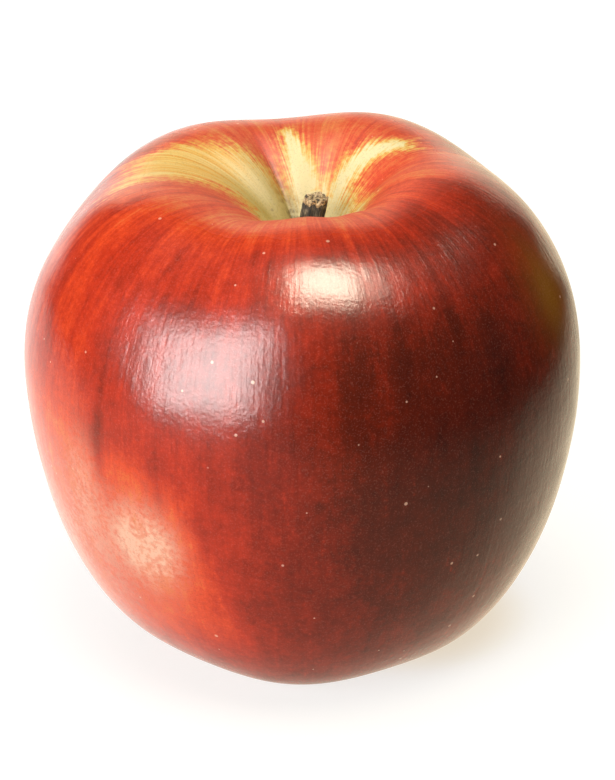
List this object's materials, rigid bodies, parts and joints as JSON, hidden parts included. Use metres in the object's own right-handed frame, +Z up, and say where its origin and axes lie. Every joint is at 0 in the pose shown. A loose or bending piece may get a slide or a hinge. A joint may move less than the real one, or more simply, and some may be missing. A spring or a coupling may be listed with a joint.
{
  "type": "apple",
  "caption": "Whole dessert apple with a broad shoulder, a funnel-shaped stem cavity, a short woody stem and a dried calyx in the basin underneath.",
  "frame": {"origin": "under the middle of the fruit, on the surface it stands on", "axes": "+Z up, through the stem cavity; +X along the wider side of the fruit, to the right of the stem seen from -Y; -Y towards the viewer"},
  "size_m": [0.0801, 0.0785, 0.0724],
  "materials": {
    "skin": "gloss",
    "bark": "matte",
    "dry_leaf": "matte",
    "dry_filament": "matte"
  },
  "bodies": {
    "root": {"fruit": "skin", "stem": "bark", "sepal_1": "dry_leaf", "sepal_2": "dry_leaf", "sepal_3": "dry_leaf", "sepal_4": "dry_leaf", "sepal_5": "dry_leaf", "dried_stamens": "dry_filament"}
  },
  "joints": []
}
